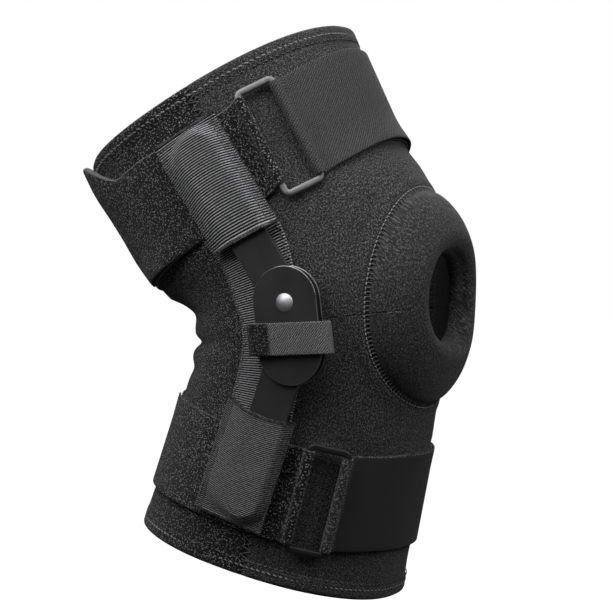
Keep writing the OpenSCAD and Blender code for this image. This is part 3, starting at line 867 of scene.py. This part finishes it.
def pockets(name, mirror):
    pocket(f"{name}_upper_pocket", 1, mirror, 39.5, 106.0, 100.0, -1.8, upper_bow, 1.38, RIBBED)
    pocket(f"{name}_lower_pocket", -1, mirror, 37.0, 98.5, 93.0, 5.0, lower_bow, 1.0, FINE_RIBBED)


# ---- Straps ----


class Ring:
    """Place of a strap's ring: t to the front round the leg, k up along the leg, n out of it.

    back and down shift it from where the strap's middle line meets RING_PHI."""

    def __init__(self, strap_s, slant, back=0.0, down=0.0):
        self.strap_s, self.slant, self.down = strap_s, slant, down
        s = float(strap_low(strap_s, slant, RING_PHI)) + STRAP_W / 2
        a = float(lean_at(s))
        run = skin(s, RING_PHI - 1, RING_LIFT) - skin(s, RING_PHI + 1, RING_LIFT)
        self.t = run / np.linalg.norm(run)
        self.k = np.array([-math.sin(a), 0.0, math.cos(a)])
        self.n = np.cross(self.t, self.k)
        self.at = skin(s, RING_PHI, RING_LIFT) - back * self.t - down * self.k

    def place(self, t, k, n):
        t, k, n = np.broadcast_arrays(t, k, n)
        return self.at + t[..., None] * self.t + k[..., None] * self.k + n[..., None] * self.n


BRIDGE_COLUMNS = 8
UNDER_R, OVER_R = 0.35, 1.45  # height of a strap's two layers over the sleeve


def bridge(first, second, count):
    """Columns that carry one run of columns smoothly into the next."""
    gap = np.linalg.norm(second[0] - first[-1], axis=1, keepdims=True)
    leave, meet = first[-1] - first[-2], second[1] - second[0]
    leave = leave / np.linalg.norm(leave, axis=1, keepdims=True) * gap
    meet = meet / np.linalg.norm(meet, axis=1, keepdims=True) * gap
    columns = []
    for t in np.linspace(0, 1, count + 2)[1:-1]:
        a, b = 2 * t**3 - 3 * t**2 + 1, t**3 - 2 * t**2 + t
        columns.append(a * first[-1] + b * leave + (1 - a) * second[0] + (t**3 - t**2) * meet)
    return np.array(columns)


def strap(
        name, ring, under, over, side, flare, rise, materials, body_side, node, fold=(0, 0), tail=0.0):
    """A strap that runs under one bar of its ring, round it, and back over itself.

    under and over are the phi limits of its two layers, both given from the far end to the ring;
    side is 1 for the ring's front bar; flare gives how far the top layer stands off, and rise how far either
    layer is drawn up, from the share of the width and phi; fold is the stretch of the loop that shows the
    band's other face; tail is how much thicker the upper corner of the tail is."""
    section = Section(44, 26)
    across = section.across(STRAP_W, LAYER_T)
    share = across / STRAP_W

    def layer(limits, count, base, top):
        phi = np.linspace(*limits, count)[:, None]
        s = strap_low(ring.strap_s, ring.slant, phi) + across + rise(share, phi, top)
        if not top:
            return skin(s, phi, base + LAYER_T * section.height)
        corner = smooth((phi - 118) / 24) * smooth((share - 0.5) / 0.4)
        thick = LAYER_T * (1 + tail * corner)
        return skin(s, phi, base + thick * (1 - section.height) + flare(share, phi))

    lower = layer(under, 120, UNDER_R, False)
    upper = layer(over, 120, OVER_R, True)[::-1]
    turns = np.radians(np.linspace(285, -8, 30))[:, None]
    reach = WIRE_R + 0.3 + LAYER_T * (1 - section.height)
    across_ring = across - STRAP_W / 2 + rise(share, RING_PHI, True) + ring.down
    loop = ring.place(side * (RING_HALF + reach * np.cos(turns)), across_ring, reach * np.sin(turns))
    runs = [lower, bridge(lower, loop, BRIDGE_COLUMNS), loop, bridge(loop, upper, BRIDGE_COLUMNS), upper]
    columns = np.concatenate(runs)
    middle = columns.mean(1)
    length = np.concatenate([[0], np.cumsum(np.linalg.norm(np.diff(middle, axis=0), axis=1))])
    weave = np.stack(np.broadcast_arrays(length[:, None], across, 0.0 * across), -1)
    loop_start = len(lower) + BRIDGE_COLUMNS
    loop_length = len(loop) + 2 * BRIDGE_COLUMNS
    folded = np.zeros(len(columns) - 1, bool)
    folded[loop_start + int(loop_length * fold[0]) : loop_start + int(loop_length * fold[1])] = True
    edge = section.reach != 0
    index = np.concatenate([(folded[:, None] | edge[None, :]).astype(int).ravel(), [1, 1]]).tolist()
    faces = loft_faces(len(columns), section.count)
    piece = add_mesh(name, columns, faces, materials, weave, index)
    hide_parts(node)
    bend(piece, body_side)


def loop_thread(name, ring, body_side):
    """Sewn line that closes the front strap's loop, just in front of the ring."""
    k = np.linspace(-24.0, 24.0, 31)
    points = ring.place(RING_HALF + 3.6 + 0 * k, k, -0.35 + 0 * k)
    ends = points[:-1] + (points[1:] - points[:-1]) * 0.6
    ups = np.broadcast_to(ring.n, ends.shape)
    bend(stitches(name, points[:-1], ends, ups, 0.28, 0.1, THREAD), body_side)


def front_flare(share, phi):
    """Stand-off of a front strap: its lower edge bridges the hollow above the kneecap."""
    return 1.8 * smooth((0.35 - share) / 0.35) * smooth((40 - np.abs(phi)) / 40)


def calf_flare(share, phi):
    return 0.6 * smooth((share - 0.75) / 0.25) * smooth((40 - np.abs(phi)) / 40)


def rear_flare(share, phi):
    """Stand-off of the thigh's rear strap, whose lower edge bridges the hollow of the knee."""
    lower = 3.4 * smooth((0.32 - share) / 0.32) * smooth((phi - 108) / 20) * smooth((156 - phi) / 18)
    corner = 1.2 * smooth((share - 0.66) / 0.34) ** 1.4 * smooth((phi - 126) / 22)
    return lower + corner


def front_rise(share, phi, top):
    """The thigh's front strap is a little wider than the rear one, and hangs lower at its ring."""
    near_ring = smooth((phi + 5) / 55)
    return share * (3.2 - 3.2 * near_ring) - (1 - share) * 4.4 * near_ring


def tail_rise(share, phi, top):
    """The thigh's rear strap widens upward, most of all at the rounded corner of its tail."""
    if not top:
        return 0 * share * phi
    corner = 20.0 * smooth((phi - 122) / 26) * share**3 - 12.0 * smooth((phi - 145) / 9) ** 2 * share**6
    return 4.0 * smooth((phi - 80) / 30) * share**2 + corner


def calf_rise(share, phi, top):
    """Both calf straps dip a little to their ring."""
    return -2.4 * bell(phi - RING_PHI, 30) + 0 * share


def calf_rear_flare(share, phi):
    return 0.4 * smooth((share - 0.7) / 0.3) * smooth((phi - 112) / 25)


def straps():
    thigh = Ring(THIGH_STRAP_S, THIGH_SLANT, back=2.0, down=2.2)
    calf = Ring(CALF_STRAP_S, CALF_SLANT, down=2.4)
    strap(
        "thigh_front_strap_cloth", thigh, (-82.0, 44.0), (-66.0, 42.0), 1, front_flare, front_rise,
        [TWILL, TWILL_EDGE], 1, "thigh_front_strap")
    strap(
        "calf_front_strap_cloth", calf, (-82.0, 45.0), (-66.0, 43.0), 1, calf_flare, calf_rise,
        [SMOOTH_TWILL, FOLD_BAND], -1, "calf_front_strap", fold=(0.13, 0.72))
    strap(
        "thigh_rear_strap_cloth", thigh, (277.5, 70.5), (153.0, 72.5), -1, rear_flare, tail_rise,
        [STRAP_PLUSH, BINDING], 1, "thigh_rear_strap", tail=2.0)
    strap(
        "calf_rear_strap_cloth", calf, (277.5, 69.0), (153.0, 71.0), -1, calf_rear_flare, calf_rise,
        [STRAP_PLUSH, FOLD_BAND], -1, "calf_rear_strap")
    loop_thread("thigh_strap_loop_thread", thigh, 1)
    loop_thread("calf_strap_loop_thread", calf, -1)
    strap_ring("thigh", thigh, 29.2, ZINC, "thigh_ring")
    # The calf ring's near-black colour is painted shade.
    strap_ring("calf", calf, 27.2, PAINTED_SHADE_WIRE, "calf_ring")


def strap_ring(name, ring, half_k, material, body):
    """Bent wire ring: a slightly flattened round wire along a rectangle with rounded corners."""
    corner = 2.6
    centres = [(RING_HALF - corner, half_k - corner), (-RING_HALF + corner, half_k - corner),
               (-RING_HALF + corner, -half_k + corner), (RING_HALF - corner, -half_k + corner)]
    path, away = [], []
    for quarter, (t, k) in enumerate(centres):
        for w in np.radians(np.linspace(90 * quarter, 90 * quarter + 90, 9)):
            path.append((t + corner * math.cos(w), k + corner * math.sin(w)))
            away.append((math.cos(w), math.sin(w)))
    path, away = np.array(path), np.array(away)
    turns = np.radians(np.arange(0, 360, 22.5))
    in_plane = 1.75 * signed_power(np.cos(turns), 0.6)
    t = path[:, :1] + away[:, :1] * in_plane
    k = path[:, 1:] + away[:, 1:] * in_plane
    points = ring.place(t, k, 1.3 * signed_power(np.sin(turns), 0.6))
    piece = add_mesh(f"{name}_ring_wire", points, loft_faces(len(path), len(turns), True), material)
    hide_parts(f"{name}_ring")
    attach(piece, body)


# ---- Hinges ----


def hinge(name, mirror):
    body = f"{name}_hinge"
    for part in ("outer_plate", "inner_plate"):
        from_cad(f"{name}_{part}", 0.28, [BLACK_STEEL, WORN_AND_HIGHLIGHT_EDGE], body)
    from_cad(f"{name}_upper_bar", 0.3, [BLACK_STEEL, WORN_AND_HIGHLIGHT_EDGE], "thigh")
    from_cad(f"{name}_lower_bar", 0.3, [BLACK_STEEL, WORN_AND_HIGHLIGHT_EDGE], "calf")
    from_cad(f"{name}_washers", 0.08, [NYLON], body)
    for level in ("upper", "lower"):
        from_cad(f"{name}_{level}_rivet", 0.15, [RIVET], body)
    keeper(name, mirror, body)


KEEPER_SLOPE = -math.tan(math.radians(4.0))


def keeper(name, mirror, body):
    """Keeper strap: a woven loop round the lower half of the hinge, with a hook patch at its rear end."""
    inner, outer, low, width = 65.6, 76.5, -16.05, 16.5
    middle, radius = (inner + outer) / 2, (outer - inner) / 2 - 0.5
    flat = np.linspace(-PLATE_R, PLATE_R, 30)
    turn = np.radians(np.linspace(-90, 90, 16)[1:-1])
    round_x, round_y = radius * np.cos(turn), radius * np.sin(turn)
    x = np.concatenate([flat, PLATE_R + round_x, flat[::-1], -PLATE_R - round_x])
    y = middle + np.concatenate([-radius + 0 * flat, round_y, radius + 0 * flat, -round_y])
    out_x = np.concatenate([0 * flat, np.cos(turn), 0 * flat, -np.cos(turn)])
    out_y = np.concatenate([-1 + 0 * flat, np.sin(turn), 1 + 0 * flat, -np.sin(turn)])
    section = Section(18, 12)
    thick = 1.0
    rise = low + section.across(width, thick) + (KEEPER_SLOPE * x)[:, None]
    off = thick * (section.height - 0.5)
    sign = 1.0 if mirror else -1.0
    wide, deep = x[:, None] + out_x[:, None] * off, y[:, None] + out_y[:, None] * off
    points = np.stack([wide, sign * deep, rise], -1)
    length = np.concatenate([[0], np.cumsum(np.hypot(np.diff(x), np.diff(y)))])
    weave = np.stack(np.broadcast_arrays(length[:, None], section.across(width, thick), 0.0), -1)
    faces = loft_faces(len(x), section.count, True)
    piece = add_mesh(f"{name}_keeper_cloth", points, faces, KEEPER_TWILL, weave)
    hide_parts(f"{name}_keeper_strap")
    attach(piece, body)
    hook_patch(name, sign, outer, low, width, body)


def hook_patch(name, sign, outer, low, width, body):
    """Rough hook tape on the keeper's end."""
    section = Section(24, 12)
    x = np.linspace(-21.5, -9.5, 22)[:, None]
    curve = 5.4 * (1 - np.sqrt(1 - np.clip((-PLATE_R - x) / 5.6, 0, 0.98) ** 2))
    z = low + 0.2 + section.across(width - 0.4, 0.9) + KEEPER_SLOPE * x
    y = sign * (outer + 0.05 + 0.9 * section.height - curve)
    points = np.stack(np.broadcast_arrays(x, y, z), -1)
    weave = np.stack(np.broadcast_arrays(x, z, 0.0), -1)
    faces = loft_faces(len(x), section.count)
    piece = add_mesh(f"{name}_hook_patch", points, faces, HOOK, weave)
    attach(piece, body)


# ---- Stage: camera first, then lights, floor and backdrop ----


def camera():
    """The outer side of the leg, a little from the front, seen almost level through a long lens."""
    azimuth, elevation, distance = math.radians(25.0), math.radians(2.0), 1.4
    level = math.cos(elevation)
    back = Vector((math.sin(azimuth) * level, -math.cos(azimuth) * level, math.sin(elevation)))
    right = Vector((math.cos(azimuth), math.sin(azimuth), 0.0))
    aim = right * -0.02126 + back.cross(right) * 0.00636
    data = bpy.data.cameras.new("camera")
    data.lens, data.sensor_width = 156.5, 36.0
    eye = bpy.data.objects.new("camera", data)
    eye.location = aim + back * distance
    eye.rotation_euler = (-back).to_track_quat("-Z", "Y").to_euler()
    bpy.context.scene.collection.objects.link(eye)
    bpy.context.scene.camera = eye


def area_light(name, place, aim, size, watts, tall=None):
    data = bpy.data.lights.new(name, "AREA")
    data.shape = "RECTANGLE"
    data.size, data.size_y, data.energy = size, tall or size, watts
    lamp = bpy.data.objects.new(name, data)
    lamp.location = place
    lamp.rotation_euler = (Vector(aim) - Vector(place)).to_track_quat("-Z", "Y").to_euler()
    bpy.context.scene.collection.objects.link(lamp)


def backdrop():
    """White surroundings for the eye, dim ones for the light on the brace."""
    world = bpy.data.worlds.new("studio")
    world.use_nodes = True
    bpy.context.scene.world = world
    tree = world.node_tree
    tree.nodes.clear()
    seen, lit = (tree.nodes.new("ShaderNodeBackground") for _ in range(2))
    seen.inputs["Color"].default_value = (1, 1, 1, 1)
    seen.inputs["Strength"].default_value = 1.0
    lit.inputs["Color"].default_value = (1, 1, 1, 1)
    lit.inputs["Strength"].default_value = 0.035
    path = tree.nodes.new("ShaderNodeLightPath")
    mix = tree.nodes.new("ShaderNodeMixShader")
    out = tree.nodes.new("ShaderNodeOutputWorld")
    tree.links.new(path.outputs["Is Camera Ray"], mix.inputs[0])
    tree.links.new(lit.outputs[0], mix.inputs[1])
    tree.links.new(seen.outputs[0], mix.inputs[2])
    tree.links.new(mix.outputs[0], out.inputs["Surface"])


def floor():
    """Pale floor well below the brace."""
    mesh = bpy.data.meshes.new("floor")
    half, height = 8.0, -0.36
    corners = [(x * half, y * half, height) for x, y in ((-1, -1), (1, -1), (1, 1), (-1, 1))]
    mesh.from_pydata(corners, [], [(0, 1, 2, 3)])
    n = Nodes("floor_paper", 0.9)
    n.shader.inputs["Base Color"].default_value = (0.9, 0.9, 0.9, 1)
    n.shader.inputs["Emission Color"].default_value = (1, 1, 1, 1)
    n.shader.inputs["Emission Strength"].default_value = 1.0
    mesh.materials.append(n.material)
    plane = bpy.data.objects.new("floor", mesh)
    plane.visible_diffuse = False
    plane.visible_glossy = False
    bpy.context.scene.collection.objects.link(plane)


def studio():
    bpy.context.scene.view_settings.view_transform = "Standard"
    camera()
    backdrop()
    floor()
    area_light("overhead", (0.08, -0.30, 0.78), (-0.02, -0.03, 0.03), 0.8, 4.1, 0.7)
    area_light("key", (-0.40, -0.80, 0.78), (0.0, -0.05, 0.05), 0.7, 4.8)
    area_light("edge", (1.15, -0.15, 0.75), (0.0, 0.0, 0.0), 0.35, 5.0, 0.9)
    area_light("behind", (-0.35, 1.15, 0.55), (0.0, 0.0, 0.0), 0.7, 5.0)


studio()
front_panel()
back_panel()
side_seams()
hem_threads()
patella_pad()
pad_seam()
for side_name, mirrored in (("lateral", False), ("medial", True)):
    webbing_strip(side_name, mirrored)
    pockets(side_name, mirrored)
    hinge(side_name, mirrored)
straps()
